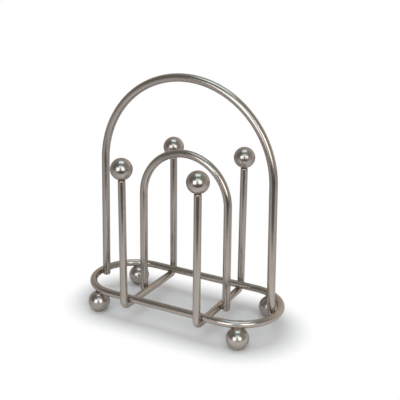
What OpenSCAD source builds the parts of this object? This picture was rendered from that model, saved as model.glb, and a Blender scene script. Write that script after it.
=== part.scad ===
// Napkin holder bent from round wire. An oval ring stands on four balls. Two wires
// hook under the ring and rise in front and behind as posts with ball finials.
// A small and a large arch stand across the middle and keep two stacks apart.

/* [Wire] */
// Diameter of the wire that the ring and the posts are bent from
wire_d = 5.8; // [5:0.1:7]
// Diameter of the thicker wire that the arches are bent from
arch_wire_d = 6.3; // [5.5:0.1:7]
// Radius of the rounding at the posts' tips and at the ends of the large arch
end_round = 1.2; // [0.8:0.1:1.4]
// Radius of the rounding at the ends of the small arch, which are nearly round
blunt_round = 2.3; // [1.5:0.1:2.5]

/* [Base ring] */
// Overall length of the ring, from left to right
ring_l = 169.5; // [150:0.5:200]
// Overall depth of the ring, from front to back
ring_w = 72; // [60:1:90]

/* [Ball feet] */
// Diameter of each ball foot
foot_d = 17.5; // [14:0.5:22]
// Diameter of the small flat that a foot stands on
foot_flat_d = 3; // [2:0.5:5]
// Angle round the ring's end bend, from its start, at which a foot is welded
foot_angle = 25; // [15:1:40]

/* [Posts and finials] */
// Distance between the two post wires, centre to centre
post_gap = 65; // [50:1:75]
// Overall height of the posts, over the finials
post_h = 136; // [115:0.5:150]
// Diameter of each ball finial
finial_d = 17; // [14:0.5:22]
// Width of the flat shoulder at a post's tip, on which the finial sits
seat_land = 0.45; // [0.3:0.05:0.6]
// Length of the spigot at a post's tip, inside the finial
spigot_l = 8; // [5:0.5:10]

/* [Arches] */
// Overall height of the large arch
large_arch_h = 196.5; // [170:0.5:230]
// Angle by which each leg of the large arch leans outwards on its way down
large_arch_lean = 1.1; // [0.2:0.1:2]
// How far the ends of the large arch reach below the middle of the ring's wire
large_arch_reach = 2; // [1.5:0.1:3]
// Overall height of the small arch
small_arch_h = 138; // [110:1:150]
// Angle by which each leg of the small arch leans outwards on its way down
small_arch_lean = 0.4; // [0.1:0.1:1.5]

/* [Joints] */
// Depth by which a weld sets one piece into the next
weld_set = 0.3; // [0.1:0.05:0.5]
// Gap round a spigot in its socket, which the braze fills
braze_gap = 0.05; // [0.02:0.01:0.1]

/* [Hidden] */
$fn = 96;

// Sides of the holder, as signs along X and Y
left = -1;
right = 1;
front = -1;
rear = 1;
// How far a cut runs past the solid that it cuts
overrun = 1;
wire_r = wire_d / 2;
arch_wire_r = arch_wire_d / 2;
// Distance between the centres of two wires that are welded side by side
weld_pitch = wire_d - weld_set;
// The same where an arch is welded to the ring or to a bar
arch_pitch = wire_r + arch_wire_r - weld_set;

// Feet: each ball's centre stands over its flat, and the ring sits in its top
foot_r = foot_d / 2;
foot_z = sqrt(pow(foot_r, 2) - pow(foot_flat_d / 2, 2));
ring_z = foot_z + foot_r + wire_r - weld_set;

// Ring: the wire's centre runs along two straights and round two half circles
ring_r = (ring_w - wire_d) / 2;
ring_x = (ring_l - wire_d) / 2;
ring_straight = ring_x - ring_r;
foot_x = ring_straight + ring_r * sin(foot_angle);
foot_y = ring_r * cos(foot_angle);

// Posts: each wire bends close round the ring's wire and runs back below it
post_x = post_gap / 2;
post_y = ring_r + weld_pitch;
bar_z = ring_z - weld_pitch;
// Tip of a post: a rounded edge, a flat shoulder and a spigot
seat_r = wire_r - end_round;
spigot_r = seat_r - seat_land;
finial_r = finial_d / 2;
finial_z = post_h - finial_r;
finial_drop = sqrt(pow(finial_r, 2) - pow(seat_r, 2));
shoulder_z = finial_z - finial_drop;

// Arches: the small one straddles the two bars, the large one stands inside the ring
small_arch_x = post_x + arch_pitch;
large_arch_x = ring_x - arch_pitch;

nickel = [0.66, 0.62, 0.58];
bright_nickel = [0.71, 0.68, 0.64];

// A straight wire that rises from the origin to a rounded upper end
module rounded_wire(thickness, rounding, length) {
    flat_r = thickness / 2 - rounding;
    rotate_extrude()
        union() {
            square([flat_r + rounding, length - rounding]);
            square([flat_r, length]);
            translate([flat_r, length - rounding]) intersection() {
                circle(r = rounding);
                square(rounding);
            }
        }
}

// A bend of a wire about the Z axis, starting on the X axis
module wire_bend(thickness, radius, angle) {
    rotate_extrude(angle = angle) translate([radius, 0]) circle(d = thickness);
}

// The closed ring of wire
module ring_wire() {
    for (side = [left, right]) {
        translate([-ring_straight, side * ring_r, ring_z]) rotate([0, 90, 0])
            cylinder(r = wire_r, h = 2 * ring_straight);
        translate([side * ring_straight, 0, ring_z]) rotate([0, 0, -side * 90])
            wire_bend(wire_d, ring_r, 180);
    }
}

// The straight bar of a post wire, which runs from front to back under the ring
module post_bar(side) {
    translate([side * post_x, ring_r, bar_z]) rotate([90, 0, 0])
        cylinder(r = wire_r, h = 2 * ring_r);
}

// The rear half of a post wire: the hook under the ring, the upright and its tip
module post_upright() {
    translate([0, ring_r, ring_z]) rotate([0, 90, 0]) wire_bend(wire_d, weld_pitch, 90);
    translate([0, post_y, ring_z]) rounded_wire(wire_d, end_round, shoulder_z - ring_z);
    translate([0, post_y, shoulder_z - end_round])
        cylinder(r = spigot_r, h = spigot_l + end_round);
}

// A whole post wire, seated round the ring at the front and at the rear
module post_wire(side) {
    color(nickel) difference() {
        union() {
            post_bar(side);
            translate([side * post_x, 0, 0]) {
                post_upright();
                mirror([0, 1, 0]) post_upright();
            }
        }
        ring_wire();
    }
}

// An arch in the plane of X and Z, whose bend runs on into two leaning legs. Each leg
// passes leg_x at weld_z, and ends at end_z
module arch(leg_x, weld_z, end_z, height, lean, rounding) {
    crown_z = height - arch_wire_r;
    bend_r = (leg_x - (crown_z - weld_z) * tan(lean))
        / (cos(lean) - (1 - sin(lean)) * tan(lean));
    bend_z = crown_z - bend_r;
    leg = (bend_z + bend_r * sin(lean) - end_z) / cos(lean);
    translate([0, 0, bend_z]) {
        arch_half(bend_r, leg, lean, rounding);
        mirror([1, 0, 0]) arch_half(bend_r, leg, lean, rounding);
    }
}

// The right half of an arch, about the bend's centre: its leg and its part of the bend,
// which runs a little past the crown and is cut off there
module arch_half(bend_r, leg, lean, rounding) {
    reach = bend_r + leg;
    intersection() {
        rotate([0, -lean, 0]) {
            rotate([90, 0, 0]) wire_bend(arch_wire_d, bend_r, 90);
            translate([bend_r, 0, 0]) mirror([0, 0, 1])
                rounded_wire(arch_wire_d, rounding, leg);
        }
        translate([0, -arch_wire_d, -reach]) cube([reach, 2 * arch_wire_d, 2 * reach]);
    }
}

module base_ring() {
    color(nickel) ring_wire();
}

// The small arch, its legs seated against the outer sides of the two bars
module small_arch() {
    color(nickel) difference() {
        arch(small_arch_x, bar_z, bar_z - wire_r, small_arch_h, small_arch_lean, blunt_round);
        post_bar(left);
        post_bar(right);
    }
}

// The large arch, its legs seated against the inner side of the ring's ends
module large_arch() {
    color(nickel) difference() {
        arch(large_arch_x, ring_z, ring_z - large_arch_reach, large_arch_h,
             large_arch_lean, end_round);
        ring_wire();
    }
}

// A ball foot with a flat below and a seat for the ring above
module foot(side, end) {
    color(bright_nickel) difference() {
        translate([side * foot_x, end * foot_y, foot_z]) sphere(r = foot_r);
        translate([side * foot_x - foot_r, end * foot_y - foot_r, -foot_r])
            cube([foot_d, foot_d, foot_r]);
        ring_wire();
    }
}

// A ball finial with a flat seat and a blind socket for the spigot
module finial(side, end) {
    color(bright_nickel) translate([side * post_x, end * post_y, finial_z]) difference() {
        sphere(r = finial_r);
        translate([-finial_r, -finial_r, -finial_drop - finial_r])
            cube([finial_d, finial_d, finial_r]);
        translate([0, 0, -finial_drop - overrun])
            cylinder(r = spigot_r + braze_gap, h = overrun + spigot_l + braze_gap);
    }
}

base_ring();
post_wire(left);  // post_wire_left
post_wire(right);  // post_wire_right
small_arch();
large_arch();
foot(left, front);  // foot_front_left
foot(right, front);  // foot_front_right
foot(left, rear);  // foot_rear_left
foot(right, rear);  // foot_rear_right
finial(left, front);  // finial_front_left
finial(right, front);  // finial_front_right
finial(left, rear);  // finial_rear_left
finial(right, rear);  // finial_rear_right
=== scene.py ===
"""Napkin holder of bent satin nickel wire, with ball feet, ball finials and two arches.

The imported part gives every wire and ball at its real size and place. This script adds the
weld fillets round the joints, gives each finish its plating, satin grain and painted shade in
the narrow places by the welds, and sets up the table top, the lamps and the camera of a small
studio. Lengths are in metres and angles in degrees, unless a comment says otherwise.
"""

import logging
import math
from abc import ABC, abstractmethod
from dataclasses import dataclass, field
from enum import Enum
from typing import Protocol

import bmesh
import bpy
from mathutils import Matrix, Vector


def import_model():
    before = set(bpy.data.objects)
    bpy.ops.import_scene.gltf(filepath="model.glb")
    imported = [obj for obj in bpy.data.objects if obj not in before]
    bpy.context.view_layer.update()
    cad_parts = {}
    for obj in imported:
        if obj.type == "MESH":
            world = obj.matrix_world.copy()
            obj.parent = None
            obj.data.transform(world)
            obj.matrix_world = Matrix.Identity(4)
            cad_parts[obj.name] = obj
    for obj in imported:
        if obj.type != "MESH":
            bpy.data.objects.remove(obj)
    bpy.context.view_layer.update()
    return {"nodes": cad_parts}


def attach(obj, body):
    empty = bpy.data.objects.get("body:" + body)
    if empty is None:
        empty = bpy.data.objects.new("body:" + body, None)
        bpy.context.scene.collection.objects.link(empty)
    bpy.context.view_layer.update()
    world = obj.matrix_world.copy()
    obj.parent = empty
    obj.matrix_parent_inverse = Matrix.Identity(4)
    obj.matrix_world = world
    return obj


LOG = logging.getLogger("napkin_holder")
MM = 0.001
ROOT_BODY = "root"
UP = Vector((0.0, 0.0, 1.0))
SIDES = {"left": -1.0, "right": 1.0}
ENDS = {"front": -1.0, "rear": 1.0}
Span = tuple[float, float]
Triple = tuple[float, float, float]
Colour = tuple[float, float, float, float]


class Slot(Enum):
    """Material slots of the record."""

    WIRE = "satin_wire"
    BALL = "satin_ball"


def heading(azimuth: float, elevation: float) -> Vector:
    """Direction from the holder towards a lamp or the camera.

    Args:
        azimuth: Degrees round the holder, where 0 is straight in front and 90 to the right.
        elevation: Degrees above the table.

    Returns:
        A unit vector.
    """
    turn, rise = math.radians(azimuth), math.radians(elevation)
    return Vector((math.sin(turn) * math.cos(rise), -math.cos(turn) * math.cos(rise), math.sin(rise)))


def grey(level: float) -> Colour:
    """A neutral colour of one level."""
    return (level, level, level, 1.0)


@dataclass(frozen=True)
class NodeSheet:
    """A short hand for building one node tree.

    Attributes:
        tree: The node tree to build in.
    """

    tree: bpy.types.NodeTree

    @classmethod
    def emptied(cls, owner: bpy.types.Material | bpy.types.World) -> "NodeSheet":
        """Empties the node tree of a material or a world.

        Args:
            owner: The material or world.

        Returns:
            A sheet on its tree.
        """
        owner.use_nodes = True
        owner.node_tree.nodes.clear()
        return cls(owner.node_tree)

    def add(self, kind: str, inputs: dict[str | int, object] | None = None,
            **properties: object) -> bpy.types.Node:
        """Adds a node.

        Args:
            kind: The node's Blender type.
            inputs: Its input sockets, by name or number, to what feeds them: a socket or a value.
            **properties: Its own properties.

        Returns:
            The new node.
        """
        node = self.tree.nodes.new(kind)
        for name, value in properties.items():
            setattr(node, name, value)
        for name, value in (inputs or {}).items():
            if isinstance(value, bpy.types.NodeSocket):
                self.tree.links.new(value, node.inputs[name])
            else:
                node.inputs[name].default_value = value
        return node

    def maths(self, operation: str, first: object, second: object = 0.0) -> bpy.types.NodeSocket:
        """Adds a Math node.

        Args:
            operation: The operation's name.
            first: A socket or a number.
            second: A socket or a number.

        Returns:
            The node's output socket.
        """
        return self.add("ShaderNodeMath", {0: first, 1: second}, operation=operation).outputs[0]

    def ramp(self, value: bpy.types.NodeSocket, span: Span,
             result: Span = (0.0, 1.0)) -> bpy.types.NodeSocket:
        """Adds a smooth Map Range node.

        Args:
            value: The socket to map.
            span: The two values that become the two results.
            result: The two results.

        Returns:
            The node's output socket.
        """
        node = self.add("ShaderNodeMapRange",
                        {"Value": value, "From Min": span[0], "From Max": span[1],
                         "To Min": result[0], "To Max": result[1]},
                        interpolation_type="SMOOTHSTEP")
        return node.outputs["Result"]

    def along(self, point: bpy.types.NodeSocket, direction: Vector) -> bpy.types.NodeSocket:
        """Adds a dot product of a vector with a fixed direction.

        Args:
            point: The vector's socket.
            direction: The fixed direction.

        Returns:
            The node's output socket.
        """
        node = self.add("ShaderNodeVectorMath", {0: point, 1: direction}, operation="DOT_PRODUCT")
        return node.outputs["Value"]

    def unit(self, point: bpy.types.NodeSocket) -> bpy.types.NodeSocket:
        """Adds a node that gives a vector the length of one."""
        return self.add("ShaderNodeVectorMath", {0: point}, operation="NORMALIZE").outputs["Vector"]

    def mix(self, share: object, first: object, second: object,
            **properties: object) -> bpy.types.NodeSocket:
        """Adds a Mix node.

        Args:
            share: The share of the second value, as a socket or a number.
            first: A socket or a value.
            second: A socket or a value.
            **properties: The node's own properties.

        Returns:
            The node's output socket.
        """
        inputs = {"Factor": share, "A": first, "B": second}
        return self.add("ShaderNodeMix", inputs, **properties).outputs["Result"]

    def place(self) -> bpy.types.NodeSocket:
        """Adds the place on the object, in metres."""
        return self.add("ShaderNodeTexCoord").outputs["Object"]

    def seen(self) -> bpy.types.NodeSocket:
        """Adds a mask of the rays that come from the camera, a reflection or glass.

        Returns:
            The mask's socket.
        """
        path = self.add("ShaderNodeLightPath").outputs
        direct = self.maths("MAXIMUM", path["Is Camera Ray"], path["Is Glossy Ray"])
        return self.maths("MAXIMUM", direct, path["Is Transmission Ray"])


def effect_group(name: str, inputs: dict[str, tuple[str, object]],
                 outputs: dict[str, str]) -> tuple[NodeSheet, bpy.types.Node]:
    """Starts a shader node group.

    Args:
        name: The group's name.
        inputs: Socket name to its type and default value.
        outputs: Socket name to its type.

    Returns:
        A sheet on the group's tree, and the group's input node.
    """
    tree = bpy.data.node_groups.new(name, "ShaderNodeTree")
    for label, (kind, value) in inputs.items():
        tree.interface.new_socket(name=label, in_out="INPUT", socket_type=kind).default_value = value
    for label, kind in outputs.items():
        tree.interface.new_socket(name=label, in_out="OUTPUT", socket_type=kind)
    sheet = NodeSheet(tree)
    return sheet, sheet.add("NodeGroupInput")


@dataclass
class NickelEffects:
    """The shader node groups that every nickel finish shares.

    Attributes:
        cloud_detail: Octaves of the clouds in the plating.
        cloud_roughness: How much the finer octaves count.
        noise_span: Noise levels between which the clouds and the flecks change over.
        grain_detail: Octaves of the grain and of the rubbed patches.
        grain_roughness: How much the finer octaves count.
        patch_scale: Rubbed patches in a metre, about.
        patch_span: Noise levels that are all rubbed and all matt.
        patch_share: Share of the patches in the roughness, next to the grain.
        hollow_samples: Rays that feel how narrow a place is.
        hollow_span: Openness of a place with no painted shade, and of one that is all shaded.
        fleck_scale: Flecks in a metre along the painted shade's edge, about.
        fleck_detail: Octaves of the flecks.
        fleck_swing: How far the flecks move the painted shade's edge.
    """

    cloud_detail: float = 3.0
    cloud_roughness: float = 0.55
    noise_span: Span = (0.3, 0.7)
    grain_detail: float = 4.0
    grain_roughness: float = 0.6
    patch_scale: float = 45.0
    patch_span: Span = (0.42, 0.68)
    patch_share: float = 0.5
    hollow_samples: int = 8
    hollow_span: Span = (0.7, 0.25)
    fleck_scale: float = 900.0
    fleck_detail: float = 3.0
    fleck_swing: Span = (-0.1, 0.1)
    tone: bpy.types.NodeTree = field(init=False)
    grain: bpy.types.NodeTree = field(init=False)
    joint_shade_and_dulling: bpy.types.NodeTree = field(init=False)

    def __post_init__(self) -> None:
        """Builds the three groups."""
        self.tone = self.build_tone()
        self.grain = self.build_grain()
        self.joint_shade_and_dulling = self.build_joint_shade_and_dulling()

    def build_tone(self) -> bpy.types.NodeTree:
        """Slow clouds between two shades of the plating.

        Returns:
            The group's tree.
        """
        sheet, given = effect_group(
            "plating_tone",
            {"Light": ("NodeSocketColor", grey(0.5)), "Dark": ("NodeSocketColor", grey(0.4)),
             "Scale": ("NodeSocketFloat", 60.0)},
            {"Colour": "NodeSocketColor"})
        cloud = sheet.add("ShaderNodeTexNoise",
                          {"Vector": sheet.place(), "Scale": given.outputs["Scale"],
                           "Detail": self.cloud_detail, "Roughness": self.cloud_roughness})
        blend = sheet.mix(sheet.ramp(cloud.outputs["Fac"], self.noise_span),
                          given.outputs["Dark"], given.outputs["Light"], data_type="RGBA")
        sheet.add("NodeGroupOutput", {"Colour": blend})
        return sheet.tree

    def build_grain(self) -> bpy.types.NodeTree:
        """The fine matt grain of satin nickel, with faint rubbed patches.

        Returns:
            The group's tree.
        """
        sheet, given = effect_group(
            "satin_grain",
            {"Smooth": ("NodeSocketFloat", 0.2), "Matt": ("NodeSocketFloat", 0.3),
             "Scale": ("NodeSocketFloat", 4000.0)},
            {"Roughness": "NodeSocketFloat", "Height": "NodeSocketFloat"})
        place = sheet.place()
        speck, patch = (
            sheet.add("ShaderNodeTexNoise",
                      {"Vector": place, "Scale": scale, "Detail": self.grain_detail,
                       "Roughness": self.grain_roughness}).outputs["Fac"]
            for scale in (given.outputs["Scale"], self.patch_scale))
        dull = sheet.mix(self.patch_share, speck, sheet.ramp(patch, self.patch_span), data_type="FLOAT")
        level = sheet.mix(dull, given.outputs["Smooth"], given.outputs["Matt"], data_type="FLOAT")
        sheet.add("NodeGroupOutput", {"Roughness": level, "Height": speck})
        return sheet.tree

    def build_joint_shade_and_dulling(self) -> bpy.types.NodeTree:
        """A mask of the narrow places round the welds, where the finish gets painted shade and duller
        plating.

        Returns:
            The group's tree.
        """
        sheet, given = effect_group(
            "joint_shade_and_dulling",
            {"Reach": ("NodeSocketFloat", 2.0 * MM), "Amount": ("NodeSocketFloat", 1.0)},
            {"Mask": "NodeSocketFloat"})
        # Ambient occlusion finds the hollows where shade falls; the mask paints that shade into the finish's
        # colour.
        hollow = sheet.add("ShaderNodeAmbientOcclusion", {"Distance": given.outputs["Reach"]},
                           samples=self.hollow_samples)
        fleck = sheet.add("ShaderNodeTexNoise",
                          {"Vector": sheet.place(), "Scale": self.fleck_scale, "Detail": self.fleck_detail})
        uneven = sheet.ramp(fleck.outputs["Fac"], self.noise_span, self.fleck_swing)
        narrow = sheet.ramp(sheet.maths("ADD", hollow.outputs["AO"], uneven), self.hollow_span)
        sheet.add("NodeGroupOutput", {"Mask": sheet.maths("MULTIPLY", narrow, given.outputs["Amount"])})
        return sheet.tree


@dataclass(frozen=True)
class NickelFinish:
    """One grade of nickel plating on steel.

    Attributes:
        name: The material's name.
        light: Colour of the plating's light clouds.
        dark: Colour of its dark clouds.
        smooth: Roughness where it is rubbed.
        matt: Roughness where it is matt.
        grain_height: Height of the grain.
        edge: Tint of the reflections at grazing angles.
        crevice_shade: Colour of the painted shade in the narrow places by the welds.
        crevice_shade_amount: How much of the painted shade shows there.
        crevice_shade_reach: Distance within which a nearby surface makes a place narrow.
        crevice_matt: Roughness of the duller plating in those places.
        grain_scale: Grains in a metre, about.
        cloud_scale: Clouds in a metre, about.
    """

    name: str
    light: Colour
    dark: Colour
    smooth: float
    matt: float
    grain_height: float
    edge: Colour = (0.75, 0.70, 0.65, 1.0)
    crevice_shade: Colour = (0.24, 0.18, 0.135, 1.0)
    crevice_shade_amount: float = 0.8
    crevice_shade_reach: float = 1.3 * MM
    crevice_matt: float = 0.45
    grain_scale: float = 4500.0
    cloud_scale: float = 55.0

    def material(self, effects: NickelEffects) -> bpy.types.Material:
        """Builds the finish.

        Args:
            effects: The shared node groups.

        Returns:
            The new material.
        """
        made = bpy.data.materials.new(self.name)
        sheet = NodeSheet.emptied(made)
        tone = sheet.add("ShaderNodeGroup",
                         {"Light": self.light, "Dark": self.dark, "Scale": self.cloud_scale},
                         node_tree=effects.tone)
        grain = sheet.add("ShaderNodeGroup",
                          {"Smooth": self.smooth, "Matt": self.matt, "Scale": self.grain_scale},
                          node_tree=effects.grain)
        narrow = sheet.add("ShaderNodeGroup",
                           {"Reach": self.crevice_shade_reach, "Amount": self.crevice_shade_amount},
                           node_tree=effects.joint_shade_and_dulling).outputs["Mask"]
        # Painted shade: the narrow places by the welds are darkened in the colour itself, and their plating
        # is made duller.
        colour = sheet.mix(narrow, tone.outputs["Colour"], self.crevice_shade, data_type="RGBA")
        rough = sheet.mix(narrow, grain.outputs["Roughness"], self.crevice_matt, data_type="FLOAT")
        bump = sheet.add("ShaderNodeBump", {"Strength": 1.0, "Distance": self.grain_height,
                                            "Height": grain.outputs["Height"]})
        metal = sheet.add("ShaderNodeBsdfPrincipled",
                          {"Metallic": 1.0, "Specular Tint": self.edge, "Base Color": colour,
                           "Roughness": rough, "Normal": bump.outputs["Normal"]})
        sheet.add("ShaderNodeOutputMaterial", {"Surface": metal.outputs["BSDF"]})
        return made


PART_FINISHES = {
    Slot.WIRE: NickelFinish(
        name="satin nickel wire",
        light=(0.441, 0.403, 0.361, 1.0),
        dark=(0.411, 0.374, 0.335, 1.0),
        smooth=0.18,
        matt=0.26,
        grain_height=0.00015 * MM,
    ),
    Slot.BALL: NickelFinish(
        name="bright satin nickel balls",
        light=(0.435, 0.400, 0.362, 1.0),
        dark=(0.405, 0.371, 0.336, 1.0),
        smooth=0.20,
        matt=0.28,
        grain_height=0.0002 * MM,
    ),
}
WELD_FINISH = NickelFinish(
    name="nickel over the welds",
    light=(0.30, 0.245, 0.195, 1.0),
    dark=(0.20, 0.155, 0.12, 1.0),
    smooth=0.34,
    matt=0.46,
    grain_height=0.004 * MM,
    cloud_scale=420.0,
    grain_scale=2600.0,
)


def dress(piece: bpy.types.Object, material: bpy.types.Material) -> None:
    """Gives a piece one material.

    Args:
        piece: The object to dress.
        material: Its only material.
    """
    slots = piece.material_slots
    if not slots:
        piece.data.materials.append(material)
    for slot in slots:
        slot.link = "OBJECT"
        slot.material = material


def closed_outline(shape: bmesh.types.BMesh, places: list[Vector]) -> list[bmesh.types.BMEdge]:
    """Draws a closed outline.

    Args:
        shape: The mesh to draw in.
        places: The outline's corners, in order.

    Returns:
        The outline's edges.
    """
    corners = [shape.verts.new(place) for place in places]
    return [shape.edges.new(pair) for pair in zip(corners, corners[1:] + corners[:1])]


def add_object(name: str, shape: bmesh.types.BMesh, material: bpy.types.Material) -> bpy.types.Object:
    """Makes a dressed object of a mesh, with its origin at the scene's.

    Args:
        name: The object's name.
        shape: Its mesh, which is freed.
        material: Its only material.

    Returns:
        The new object.
    """
    mesh = bpy.data.meshes.new(name)
    shape.to_mesh(mesh)
    shape.free()
    made = bpy.data.objects.new(name, mesh)
    bpy.context.collection.objects.link(made)
    dress(made, material)
    return made


@dataclass(frozen=True)
class HolderSizes:
    """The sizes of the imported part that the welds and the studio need.

    Attributes:
        wire_r: Radius of the wire of the ring and the posts.
        arch_wire_r: Radius of the arches' wire.
        foot_r: Radius of a ball foot.
        foot_flat_r: Radius of the flat that it stands on.
        foot_angle: Angle round the ring's end bend at which a foot is welded.
        ring_x: Half the length of the ring, to the middle of its wire.
        ring_r: Radius of its end bends, to the middle of its wire.
        post_x: Distance of a post wire from the holder's middle.
        post_top: Height up to which a post's upright is looked at.
        weld_set: Depth by which a weld sets one piece into the next.
        leg_run: Height over which an arch's leg is looked at.
        large_lean: Lean of the large arch's legs.
        large_reach: How far its ends reach below the middle of the ring's wire.
        small_lean: Lean of the small arch's legs.
        cut_round: Rounding at the ends of the large arch.
        blunt_round: Rounding at the ends of the small arch.
    """

    wire_r: float = 2.9 * MM
    arch_wire_r: float = 3.15 * MM
    foot_r: float = 8.75 * MM
    foot_flat_r: float = 1.5 * MM
    foot_angle: float = 25.0
    ring_x: float = 81.85 * MM
    ring_r: float = 33.1 * MM
    post_x: float = 32.5 * MM
    post_top: float = 118.6 * MM
    weld_set: float = 0.3 * MM
    leg_run: float = 60.0 * MM
    large_lean: float = 1.1
    large_reach: float = 2.0 * MM
    small_lean: float = 0.4
    cut_round: float = 1.2 * MM
    blunt_round: float = 2.3 * MM

    @property
    def foot_z(self) -> float:
        """Height of the middle of a foot."""
        return math.sqrt(self.foot_r ** 2 - self.foot_flat_r ** 2)

    @property
    def ring_z(self) -> float:
        """Height of the middle of the ring's wire."""
        return self.foot_z + self.foot_r + self.wire_r - self.weld_set

    @property
    def ring_straight(self) -> float:
        """Half the length of the ring's straight runs."""
        return self.ring_x - self.ring_r

    @property
    def ring_edge(self) -> float:
        """Radius of the ring's end bends, over the wire."""
        return self.ring_r + self.wire_r

    @property
    def weld_pitch(self) -> float:
        """Distance between the centres of two welded wires."""
        return 2.0 * self.wire_r - self.weld_set

    @property
    def arch_pitch(self) -> float:
        """The same where one of the wires is an arch."""
        return self.wire_r + self.arch_wire_r - self.weld_set

    @property
    def bar_z(self) -> float:
        """Height of the middle of the two bars under the ring."""
        return self.ring_z - self.weld_pitch


class Solid(Protocol):
    """A simple solid that knows the point of its core nearest to any place."""

    def core(self, place: Vector) -> tuple[Vector, float]:
        """The nearest point of the core, and the thickness of the skin round it."""


@dataclass(frozen=True)
class Ball:
    """A ball."""

    centre: Vector
    radius: float

    def core(self, place: Vector) -> tuple[Vector, float]:
        """The ball's centre and radius, which are the same from every place."""
        return self.centre, self.radius


@dataclass(frozen=True)
class Rod:
    """A straight wire with rounded ends."""

    start: Vector
    end: Vector
    radius: float
    rounding: float

    def core(self, place: Vector) -> tuple[Vector, float]:
        """Finds the rod's core: the rod shrunk by its rounding.

        Args:
            place: Any place.

        Returns:
            The core's nearest point, and the rounding.
        """
        run = self.end - self.start
        along = run.normalized()
        step = (place - self.start).dot(along)
        out = place - (self.start + along * step)
        reach = min(out.length, self.radius - self.rounding)
        step = min(max(step, self.rounding), run.length - self.rounding)
        nearest = self.start + along * step
        if out.length > 0.0:
            nearest += out.normalized() * reach
        return nearest, self.rounding


@dataclass(frozen=True)
class Bend:
    """A bend of a wire, from one direction round towards another by an angle in radians."""

    centre: Vector
    start: Vector
    towards: Vector
    bend_r: float
    radius: float
    angle: float

    def core(self, place: Vector) -> tuple[Vector, float]:
        """Finds the bend's core: its middle line.

        Args:
            place: Any place.

        Returns:
            The core's nearest point, and the wire's radius.
        """
        arm = place - self.centre
        turn = math.atan2(arm.dot(self.towards), arm.dot(self.start))
        turn = min(max(turn, 0.0), self.angle)
        spoke = self.start * math.cos(turn) + self.towards * math.sin(turn)
        return self.centre + spoke * self.bend_r, self.radius


def reach_to(solids: tuple[Solid, ...], place: Vector) -> tuple[float, Vector]:
    """Distance from a place to the nearest of some solids.

    Args:
        solids: The solids of one piece.
        place: The place.

    Returns:
        The distance, and the unit direction away from the piece.
    """
    reaches = []
    for solid in solids:
        middle, skin = solid.core(place)
        away = place - middle
        reaches.append((away.length - skin, away.normalized()))
    return min(reaches, key=lambda reach: reach[0])


@dataclass(frozen=True)
class WeldFillet:
    """A concave fillet along the crevice between two pieces.

    A ball of the fillet's radius rolls round the joint and touches both pieces. The arc
    between its two touching points is the fillet's section at each step.

    Attributes:
        first: The solids of the first piece.
        second: The solids of the second piece.
        seed: A place in the crevice, near which the ball starts.
        radius: The ball's radius.
        step: How far it rolls between two sections.
        root: How far the section reaches into the pieces.
        arc_parts: Faces across the arc.
        most_steps: Steps after which it stops in any case.
        first_steps: Steps that it takes before it looks for its start.
        home_share: Share of a step within which it is back at its start.
        settle_rounds: Rounds in which the ball finds its place.
        least_spread: Keeps these rounds steady where both pieces face the same way.
    """

    first: tuple[Solid, ...]
    second: tuple[Solid, ...]
    seed: Vector
    radius: float
    step: float = 0.22 * MM
    root: float = 0.2 * MM
    arc_parts: int = 6
    most_steps: int = 900
    first_steps: int = 4
    home_share: float = 0.8
    settle_rounds: int = 24
    least_spread: float = 0.02

    def settle(self, place: Vector) -> tuple[Vector, Vector, Vector]:
        """Moves a place until the rolling ball there touches both pieces.

        Args:
            place: The place to start from.

        Returns:
            The ball's centre, and the directions away from the two pieces.
        """
        for _ in range(self.settle_rounds):
            gap_a, away_a = reach_to(self.first, place)
            gap_b, away_b = reach_to(self.second, place)
            miss_a, miss_b = self.radius - gap_a, self.radius - gap_b
            shared = away_a.dot(away_b)
            spread = max(1.0 - shared * shared, self.least_spread)
            place = (place + away_a * ((miss_a - miss_b * shared) / spread)
                     + away_b * ((miss_b - miss_a * shared) / spread))
        return place, away_a, away_b

    def section(self, centre: Vector, away_a: Vector, away_b: Vector) -> list[Vector]:
        """The closed outline of the fillet at one step.

        Args:
            centre: The rolling ball's centre.
            away_a: Direction away from the first piece.
            away_b: Direction away from the second piece.

        Returns:
            The outline's points: the arc, then a root in each piece and one deep in the crevice.
        """
        arc = []
        for part in range(self.arc_parts + 1):
            towards = (-away_a).slerp(-away_b, part / self.arc_parts)
            arc.append(centre + towards * self.radius)
        deep = self.radius + self.root
        crevice = (away_a + away_b).normalized()
        return arc + [centre - towards * deep for towards in (away_b, crevice, away_a)]

    def add_to(self, shape: bmesh.types.BMesh) -> None:
        """Adds the fillet to a mesh, closed round the joint.

        Args:
            shape: The mesh to build in.
        """
        centre, away_a, away_b = self.settle(self.seed)
        home = centre.copy()
        first = last = closed_outline(shape, self.section(centre, away_a, away_b))
        for count in range(self.most_steps):
            forward = away_a.cross(away_b).normalized()
            centre, away_a, away_b = self.settle(centre + forward * self.step)
            if count >= self.first_steps and (centre - home).length < self.step * self.home_share:
                LOG.info("fillet closed after %d steps", count + 1)
                break
            following = closed_outline(shape, self.section(centre, away_a, away_b))
            bmesh.ops.bridge_loops(shape, edges=last + following)
            last = following
        bmesh.ops.bridge_loops(shape, edges=last + first)


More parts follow.
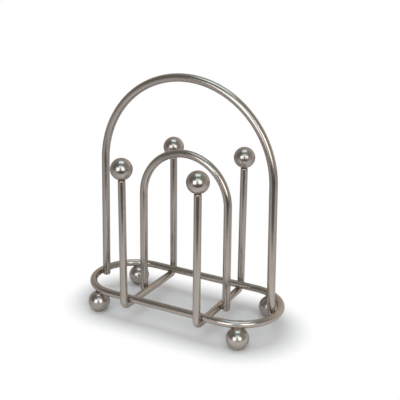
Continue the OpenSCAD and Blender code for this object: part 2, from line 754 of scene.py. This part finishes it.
@dataclass(frozen=True)
class WeldWork:
    """The weld fillets of the holder's joints.

    Attributes:
        sizes: The holder's sizes.
        foot_fillet: Radius of the fillets at the feet.
        hook_fillet: Radius of the fillets at the hooks.
        leg_fillet: Radius of the fillets at the arches' legs.
        seed_reach: Distance from a joint's middle to the place where its fillet starts.
    """

    sizes: HolderSizes
    foot_fillet: float = 0.5 * MM
    hook_fillet: float = 0.42 * MM
    leg_fillet: float = 0.42 * MM
    seed_reach: float = 2.6 * MM

    def build(self, material: bpy.types.Material) -> None:
        """Builds the fillets, one piece for each kind of joint.

        Args:
            material: The finish over the welds.
        """
        for name, fillets in (("foot_welds", self.at_feet()), ("hook_welds", self.at_hooks()),
                              ("small_arch_welds", self.at_small_arch()),
                              ("large_arch_welds", self.at_large_arch())):
            shape = bmesh.new()
            for fillet in fillets:
                fillet.add_to(shape)
            bmesh.ops.recalc_face_normals(shape, faces=shape.faces)
            for face in shape.faces:
                face.smooth = True
            piece = add_object(name, shape, material)
            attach(piece, ROOT_BODY)
            LOG.info("%s built with %d faces", name, len(piece.data.polygons))

    def ring(self) -> tuple[Solid, ...]:
        """The base ring's wire.

        Returns:
            Its two straights and its two end bends.
        """
        size = self.sizes
        wire: list[Solid] = []
        for end in ENDS.values():
            y = end * size.ring_r
            wire.append(Rod(Vector((-size.ring_straight, y, size.ring_z)),
                            Vector((size.ring_straight, y, size.ring_z)), size.wire_r, size.wire_r))
        for side in SIDES.values():
            wire.append(Bend(Vector((side * size.ring_straight, 0.0, size.ring_z)), Vector((0.0, -1.0, 0.0)),
                             Vector((side, 0.0, 0.0)), size.ring_r, size.wire_r, math.pi))
        return tuple(wire)

    def bar(self, side: float) -> Rod:
        """The bar of one post wire, under the ring.

        Args:
            side: -1 on the left, 1 on the right.

        Returns:
            The rod.
        """
        size = self.sizes
        x = side * size.post_x
        return Rod(Vector((x, -size.ring_r, size.bar_z)), Vector((x, size.ring_r, size.bar_z)),
                   size.wire_r, size.wire_r)

    def post(self, side: float, end: float) -> tuple[Solid, ...]:
        """One half of a post wire.

        Args:
            side: -1 on the left, 1 on the right.
            end: -1 in front, 1 at the rear.

        Returns:
            The bar, the hook round the ring and the upright.
        """
        size = self.sizes
        x, y = side * size.post_x, end * size.ring_r
        outer = end * (size.ring_r + size.weld_pitch)
        hook = Bend(Vector((x, y, size.ring_z)), Vector((0.0, 0.0, -1.0)), Vector((0.0, end, 0.0)),
                    size.weld_pitch, size.wire_r, math.pi / 2.0)
        upright = Rod(Vector((x, outer, size.ring_z - size.wire_r)), Vector((x, outer, size.post_top)),
                      size.wire_r, size.wire_r)
        return self.bar(side), hook, upright

    def leg(self, side: float, middle: float, weld_z: float, end_z: float,
            lean: float, rounding: float) -> Rod:
        """The lower run of an arch's leg.

        Args:
            side: -1 on the left, 1 on the right.
            middle: Distance of the leg's middle from the holder's centre, at weld_z.
            weld_z: Height of the weld.
            end_z: Height of the leg's end.
            lean: Degrees by which the leg leans outwards on its way down.
            rounding: Radius of the rounding at the leg's end.

        Returns:
            The rod.
        """
        slope = math.tan(math.radians(lean))
        low = Vector((side * (middle + (weld_z - end_z) * slope), 0.0, end_z))
        rise = self.sizes.leg_run
        high = low + Vector((-side * slope * rise, 0.0, rise))
        return Rod(low, high, self.sizes.arch_wire_r, rounding)

    def at_feet(self) -> list[WeldFillet]:
        """Plans the welds between the ring and the four feet.

        Returns:
            The fillets.
        """
        size = self.sizes
        turn = math.radians(size.foot_angle)
        made = []
        for side in SIDES.values():
            for end in ENDS.values():
                out = Vector((side * math.sin(turn), end * math.cos(turn), 0.0))
                foot = Vector((side * size.ring_straight, 0.0, size.foot_z)) + out * size.ring_r
                seed = foot + UP * size.foot_r + out * self.seed_reach
                made.append(WeldFillet(self.ring(), (Ball(foot, size.foot_r),), seed, self.foot_fillet))
        return made

    def at_hooks(self) -> list[WeldFillet]:
        """Plans the welds where the post wires hook round the ring.

        Returns:
            The fillets.
        """
        size = self.sizes
        made = []
        for side in SIDES.values():
            for end in ENDS.values():
                slant = Vector((0.0, end, -1.0)).normalized()
                seam = Vector((side * size.post_x, end * size.ring_r, size.ring_z)) + slant * size.wire_r
                made.append(WeldFillet(self.ring(), self.post(side, end),
                                       seam + Vector((self.seed_reach, 0.0, 0.0)), self.hook_fillet))
        return made

    def at_small_arch(self) -> list[WeldFillet]:
        """Plans the welds between the small arch's legs and the two bars.

        Returns:
            The fillets.
        """
        size = self.sizes
        made = []
        for side in SIDES.values():
            leg = self.leg(side, size.post_x + size.arch_pitch, size.bar_z, size.bar_z - size.wire_r,
                           size.small_lean, size.blunt_round)
            seed = Vector((side * (size.post_x + size.wire_r), self.seed_reach, size.bar_z))
            made.append(WeldFillet((self.bar(side),), (leg,), seed, self.leg_fillet))
        return made

    def at_large_arch(self) -> list[WeldFillet]:
        """Plans the welds between the large arch's legs and the ring's two ends.

        Returns:
            The fillets.
        """
        size = self.sizes
        made = []
        for side in SIDES.values():
            leg = self.leg(side, size.ring_x - size.arch_pitch, size.ring_z, size.ring_z - size.large_reach,
                           size.large_lean, size.cut_round)
            seed = Vector((side * (size.ring_x - size.wire_r), 0.0, size.ring_z + self.seed_reach))
            made.append(WeldFillet(self.ring(), (leg,), seed, self.leg_fillet))
        return made


@dataclass(frozen=True)
class PieceWork:
    """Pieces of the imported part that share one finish.

    Attributes:
        kind: What the pieces are.
        names: The names of their nodes.
    """

    kind: str
    names: tuple[str, ...]

    def dress(self, nodes: dict[str, bpy.types.Object], material: bpy.types.Material) -> None:
        """Finishes each piece.

        Args:
            nodes: The part's nodes by name.
            material: The pieces' finish.
        """
        for name in self.names:
            dress(nodes[name], material)
            LOG.info("%s %s finished in %s", self.kind, name, material.name)


@dataclass(frozen=True)
class WireWork(PieceWork):
    """The bent wires of the holder: the ring, the two post wires and the two arches."""

    kind: str = "wire"
    names: tuple[str, ...] = ("base_ring", "post_wire_left", "post_wire_right", "small_arch", "large_arch")


@dataclass(frozen=True)
class BallWork(PieceWork):
    """The four ball feet and the four ball finials."""

    kind: str = "ball"
    names: tuple[str, ...] = tuple(
        f"{ball}_{end}_{side}" for ball in ("foot", "finial") for end in ENDS for side in SIDES)


@dataclass(frozen=True)
class StudioAir:
    """The world: white wherever it is seen, in reflections too, and softer as ambient light.

    Attributes:
        ambient: Colour of the ambient light.
    """

    ambient: Colour = (0.475, 0.437, 0.422, 1.0)

    def build(self) -> None:
        """Builds the world."""
        world = bpy.data.worlds.new("studio air")
        bpy.context.scene.world = world
        sheet = NodeSheet.emptied(world)
        tone = sheet.mix(sheet.seen(), self.ambient, grey(1.0), data_type="RGBA")
        air = sheet.add("ShaderNodeBackground", {"Color": tone})
        sheet.add("ShaderNodeOutputWorld", {"Surface": air.outputs["Background"]})


@dataclass(frozen=True)
class PaleFloor:
    """A pale floor that keeps the soft shadows and fades to white away from the holder.

    Attributes:
        sizes: The holder's sizes.
        half: Half the floor's width.
        shade: Its grey level.
        fade: Distances outside the ring's outline where it starts to fade and is white.
    """

    sizes: HolderSizes
    half: float = 4.0
    shade: float = 0.83
    fade: Span = (-2.0 * MM, 26.0 * MM)

    def build(self) -> None:
        """Builds the floor."""
        shape = bmesh.new()
        bmesh.ops.create_grid(shape, x_segments=1, y_segments=1, size=self.half)
        floor = add_object("floor", shape, self.material())

    def material(self) -> bpy.types.Material:
        """Builds the floor's finish.

        Returns:
            The new material.
        """
        made = bpy.data.materials.new("pale floor")
        sheet = NodeSheet.emptied(made)
        parts = sheet.add("ShaderNodeSeparateXYZ", {"Vector": sheet.place()}).outputs
        beyond = sheet.maths("SUBTRACT", sheet.maths("ABSOLUTE", parts["X"]), self.sizes.ring_straight)
        beyond = sheet.maths("MAXIMUM", beyond, 0.0)
        squares = sheet.maths("ADD", sheet.maths("MULTIPLY", beyond, beyond),
                              sheet.maths("MULTIPLY", parts["Y"], parts["Y"]))
        outside = sheet.maths("SUBTRACT", sheet.maths("SQRT", squares), self.sizes.ring_edge)
        away = sheet.maths("MULTIPLY", sheet.ramp(outside, self.fade), sheet.seen())
        matt = sheet.add("ShaderNodeBsdfDiffuse", {"Color": grey(self.shade)})
        white = sheet.add("ShaderNodeEmission", {"Color": grey(1.0)})
        blend = sheet.add("ShaderNodeMixShader", {"Fac": away, 1: matt.outputs["BSDF"],
                                                  2: white.outputs["Emission"]})
        sheet.add("ShaderNodeOutputMaterial", {"Surface": blend.outputs["Shader"]})
        return made


@dataclass(frozen=True)
class ReflectedCard(ABC):
    """A glowing card that only reflections see.

    Attributes:
        sizes: The holder's sizes.
        view_azimuth: Direction of the camera round the holder.
        room_radius: Radius of the round room.
        round_steps: Corners of a circle.
    """

    sizes: HolderSizes
    view_azimuth: float
    room_radius: float = 2.4
    round_steps: int = 96

    @property
    def ahead(self) -> Vector:
        """Level direction from the holder towards the camera."""
        return heading(self.view_azimuth, 0.0)

    @property
    def aside(self) -> Vector:
        """Level direction to the camera's right."""
        return heading(self.view_azimuth + 90.0, 0.0)

    @abstractmethod
    def shape(self) -> bmesh.types.BMesh:
        """Makes the card's mesh."""

    @abstractmethod
    def light(self, sheet: NodeSheet) -> dict[str | int, object]:
        """Builds the nodes that feed the card's Emission node.

        Args:
            sheet: The sheet to build in.

        Returns:
            That node's inputs.
        """

    def build(self, name: str, finish: str) -> None:
        """Builds the card.

        Args:
            name: The card's name.
            finish: Its material's name.
        """
        made = bpy.data.materials.new(finish)
        sheet = NodeSheet.emptied(made)
        glow = sheet.add("ShaderNodeEmission", self.light(sheet))
        sheet.add("ShaderNodeOutputMaterial", {"Surface": glow.outputs["Emission"]})
        card = add_object(name, self.shape(), made)
        card.visible_camera = False
        card.visible_diffuse = False
        card.visible_shadow = False
        card.visible_transmission = False


@dataclass(frozen=True)
class WideTable(ReflectedCard):
    """A glowing card with painted light for the table top out to the walls, brightest in front and open to
    painted gloom beyond it.

    Attributes:
        margin: Distance from the ring's outline to the card's inner rim.
        lift: Height of the card.
        tone: Its colour half way round from its lit side to its far side.
        slope: What its lit side has more, and its far side less.
        lit_from: Direction of its lit side round the holder.
        falls: Distances between which its light falls, and the share that is left.
        gloom_span: Distances in front of the holder where the gloom starts and is full.
        gloom_curve: How fast the gloom's edge bows away from the holder, per metre.
        gloom_middle: Place across the view where that edge is nearest.
        gloom_colour: Colour of the gloom.
    """

    margin: float = 13.0 * MM
    lift: float = 0.5 * MM
    tone: Triple = (0.758, 0.737, 0.757)
    slope: Triple = (0.20, 0.205, 0.175)
    lit_from: float = 50.0
    falls: tuple[tuple[Span, float], ...] = (((0.14, 0.34), 0.82), ((0.34, 1.2), 0.72))
    gloom_span: Span = (208.0 * MM, 238.0 * MM)
    gloom_curve: float = 1.0
    gloom_middle: float = -10.0 * MM
    gloom_colour: Colour = (0.115, 0.108, 0.095, 1.0)

    def shape(self) -> bmesh.types.BMesh:
        """Bridges an oval rim round the holder with a round one at the walls.

        Returns:
            The card's mesh.
        """
        shape = bmesh.new()
        turns = [math.tau * (step + 0.5) / self.round_steps for step in range(self.round_steps)]
        rims = []
        for straight, bend in ((self.sizes.ring_straight, self.sizes.ring_edge + self.margin),
                               (0.0, self.room_radius)):
            rims += closed_outline(shape, [
                Vector((math.copysign(straight, math.cos(turn)) + bend * math.cos(turn),
                        bend * math.sin(turn), self.lift)) for turn in turns])
        bmesh.ops.bridge_loops(shape, edges=rims)
        return shape

    def light(self, sheet: NodeSheet) -> dict[str | int, object]:
        """Lights the table top from one side and lets it end in gloom in front.

        Args:
            sheet: The sheet to build in.

        Returns:
            The Emission node's inputs.
        """
        place = sheet.place()
        lit = sheet.add("ShaderNodeVectorMath",
                        {0: sheet.along(sheet.unit(place), heading(self.lit_from, 0.0)),
                         1: self.slope, 2: self.tone}, operation="MULTIPLY_ADD")
        reach = sheet.add("ShaderNodeVectorMath", {0: place}, operation="LENGTH").outputs["Value"]
        far = sheet.maths("MULTIPLY", *(sheet.ramp(reach, span, (1.0, left)) for span, left in self.falls))
        dimmed = sheet.add("ShaderNodeVectorMath", {0: lit.outputs["Vector"], "Scale": far},
                           operation="SCALE")
        across = sheet.maths("SUBTRACT", sheet.along(place, self.aside), self.gloom_middle)
        bow = sheet.maths("MULTIPLY", sheet.maths("MULTIPLY", across, across), self.gloom_curve)
        gloom = sheet.ramp(sheet.maths("SUBTRACT", sheet.along(place, self.ahead), bow), self.gloom_span)
        return {"Color": sheet.mix(gloom, dimmed.outputs["Vector"], self.gloom_colour, data_type="RGBA")}


@dataclass(frozen=True)
class RoomDome(ReflectedCard):
    """A glowing dome of dim walls whose light is painted: paler at the back, on the right and towards the
    horizon.

    Attributes:
        profile_parts: Faces between the horizon and the top.
        merge_gap: Distance under which corners are merged at the top.
        tones: Colours of the walls, from the one behind the holder to the one behind the camera.
        side_share: How much brighter the walls are on the right, and how much dimmer on the left.
        horizon_share: How much brighter they are at the horizon.
        horizon_reach: Height over the horizon at which that ends, as a share of the radius.
        ceiling_tint: What the ceiling keeps of the walls' colour.
        ceiling_span: Heights between which the walls become ceiling, as shares of the radius.
    """

    profile_parts: int = 15
    merge_gap: float = 0.01 * MM
    tones: tuple[tuple[float, Colour], ...] = (
        (0.0, (0.65, 0.61, 0.56, 1.0)),
        (0.25, (0.63, 0.59, 0.54, 1.0)),
        (0.42, (0.41, 0.39, 0.36, 1.0)),
        (0.60, (0.32, 0.305, 0.285, 1.0)),
        (1.0, (0.214, 0.222, 0.224, 1.0)),
    )
    side_share: float = 0.42
    horizon_share: float = 0.4
    horizon_reach: float = 0.4
    ceiling_tint: Colour = (0.90, 0.96, 1.0, 1.0)
    ceiling_span: Span = (0.55, 0.95)

    def shape(self) -> bmesh.types.BMesh:
        """Spins a quarter circle round the room's middle.

        Returns:
            The card's mesh.
        """
        shape = bmesh.new()
        rises = [math.pi / 2.0 * part / self.profile_parts for part in range(self.profile_parts + 1)]
        points = [shape.verts.new((self.room_radius * math.cos(rise), 0.0, self.room_radius * math.sin(rise)))
                  for rise in rises]
        edges = [shape.edges.new(pair) for pair in zip(points, points[1:])]
        bmesh.ops.spin(shape, geom=points + edges, cent=(0.0, 0.0, 0.0), axis=UP, dvec=(0.0, 0.0, 0.0),
                       angle=math.tau, steps=self.round_steps, use_merge=True)
        bmesh.ops.remove_doubles(shape, verts=shape.verts, dist=self.merge_gap)
        return shape

    def light(self, sheet: NodeSheet) -> dict[str | int, object]:
        """Colours the walls by their side of the room and by their height.

        Args:
            sheet: The sheet to build in.

        Returns:
            The Emission node's inputs.
        """
        outwards = sheet.unit(sheet.place())
        facing, side, height = (sheet.along(outwards, way) for way in (self.ahead, self.aside, UP))
        turned = sheet.maths("ADD", sheet.maths("MULTIPLY", facing, 0.5), 0.5)
        tone = sheet.add("ShaderNodeValToRGB", {"Fac": turned})
        stops = tone.color_ramp.elements
        for stop, (position, colour) in zip(stops, (self.tones[0], self.tones[-1])):
            stop.position, stop.color = position, colour
        for position, colour in self.tones[1:-1]:
            stops.new(position).color = colour
        walls = sheet.mix(sheet.ramp(height, self.ceiling_span), tone.outputs["Color"], self.ceiling_tint,
                          data_type="RGBA", blend_type="MULTIPLY")
        level = sheet.maths("ADD", sheet.maths("MULTIPLY", side, self.side_share), 1.0)
        low = sheet.ramp(height, (0.0, self.horizon_reach), (self.horizon_share, 0.0))
        return {"Color": walls, "Strength": sheet.maths("ADD", level, low)}


@dataclass(frozen=True)
class SoftLamp:
    """A softbox, placed by its direction from the holder.

    Attributes:
        name: The lamp's name.
        azimuth: Its direction round the holder.
        elevation: Its direction above the table.
        width: Its width.
        height: Its height.
        radiance: Its brightness, in watts per square metre and steradian.
        colour: Its colour.
        distance: Its distance from the point that it is aimed at.
        aim: That point.
    """

    name: str
    azimuth: float
    elevation: float
    width: float
    height: float
    radiance: float
    colour: Triple
    distance: float = 2.0
    aim: Triple = (0.0, 0.0, 0.07)

    def build(self) -> None:
        """Builds the lamp."""
        data = bpy.data.lights.new(self.name, "AREA")
        data.shape = "RECTANGLE"
        data.size, data.size_y = self.width, self.height
        data.color = self.colour
        data.energy = self.radiance * math.pi * self.width * self.height
        lamp = bpy.data.objects.new(self.name, data)
        bpy.context.collection.objects.link(lamp)
        towards = heading(self.azimuth, self.elevation)
        lamp.location = Vector(self.aim) + towards * self.distance
        lamp.rotation_mode = "QUATERNION"
        lamp.rotation_quaternion = (-towards).to_track_quat("-Z", "Y")
        lamp.visible_camera = False


@dataclass(frozen=True)
class Studio:
    """A pale table top under soft lamps, in a room that only reflections see.

    Attributes:
        sizes: The holder's sizes.
        view_azimuth: Direction of the camera round the holder.
    """

    sizes: HolderSizes
    view_azimuth: float

    def build(self) -> None:
        """Builds the world, the floor, what the reflections see of the room, and the lamps."""
        StudioAir().build()
        PaleFloor(self.sizes).build()
        WideTable(self.sizes, self.view_azimuth).build("wide_table", "wide table top")
        RoomDome(self.sizes, self.view_azimuth).build("room", "room walls")
        for lamp in self.lamps():
            lamp.build()

    def lamps(self) -> tuple[SoftLamp, ...]:
        """Two soft lamps beside the lens, a wide one above it and one overhead."""
        return (
            SoftLamp("left_softbox", azimuth=-3.0, elevation=13.5, width=1.08, height=1.06, radiance=3.2,
                     colour=(0.98, 0.97, 0.975)),
            SoftLamp("right_softbox", azimuth=50.0, elevation=17.5, width=1.02, height=1.00, radiance=3.2,
                     colour=(1.0, 0.97, 0.95)),
            SoftLamp("bridge_softbox", azimuth=28.0, elevation=39.0, width=1.5, height=0.85, radiance=1.6,
                     colour=(0.74, 0.95, 1.0)),
            SoftLamp("overhead_softbox", azimuth=self.view_azimuth, elevation=89.0, width=1.3,
                     height=0.95, radiance=2.2, colour=(0.67, 0.87, 1.0)),
        )


@dataclass(frozen=True)
class Lens:
    """The camera, set from its direction, its distance and the point that it looks at.

    Attributes:
        azimuth: Its direction round the holder.
        elevation: Its direction above the table.
        roll: Its turn about its own axis.
        distance: Its distance from the point that it looks at.
        look_at: That point.
        focal_pixels: Its focal length, in pixels of the picture.
        frame_pixels: The picture's width, in pixels.
        shift_up: How far the picture is shifted, as a share of its width.
        sensor: Width of its sensor, in millimetres.
    """

    azimuth: float = 28.226
    elevation: float = 17.078
    roll: float = 0.697
    distance: float = 574.35 * MM
    look_at: Triple = (13.41 * MM, 0.0, 116.03 * MM)
    focal_pixels: float = 750.61
    frame_pixels: float = 400.0
    shift_up: float = -0.05
    sensor: float = 36.0

    def build(self) -> None:
        """Builds the camera and makes it the scene's own."""
        data = bpy.data.cameras.new("camera")
        data.sensor_width = self.sensor
        data.lens = self.focal_pixels / self.frame_pixels * self.sensor
        data.shift_y = self.shift_up
        camera = bpy.data.objects.new("camera", data)
        bpy.context.collection.objects.link(camera)
        towards = heading(self.azimuth, self.elevation)
        camera.location = Vector(self.look_at) + towards * self.distance
        level = (-towards).to_track_quat("-Z", "Y").to_matrix().to_4x4()
        turned = level @ Matrix.Rotation(math.radians(self.roll), 4, "Z")
        camera.rotation_mode = "QUATERNION"
        camera.rotation_quaternion = turned.to_quaternion()
        bpy.context.scene.camera = camera


def main() -> None:
    """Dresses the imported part, welds its joints and builds the studio round it."""
    logging.basicConfig(level=logging.INFO, format="%(message)s")
    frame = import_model()

    sizes = HolderSizes()
    effects = NickelEffects()
    finishes = {slot: finish.material(effects) for slot, finish in PART_FINISHES.items()}
    WireWork().dress(frame["nodes"], finishes[Slot.WIRE])
    BallWork().dress(frame["nodes"], finishes[Slot.BALL])
    WeldWork(sizes).build(WELD_FINISH.material(effects))

    lens = Lens()
    Studio(sizes, lens.azimuth).build()
    lens.build()
    bpy.context.scene.view_settings.view_transform = "Standard"


if __name__ == "__main__":
    main()
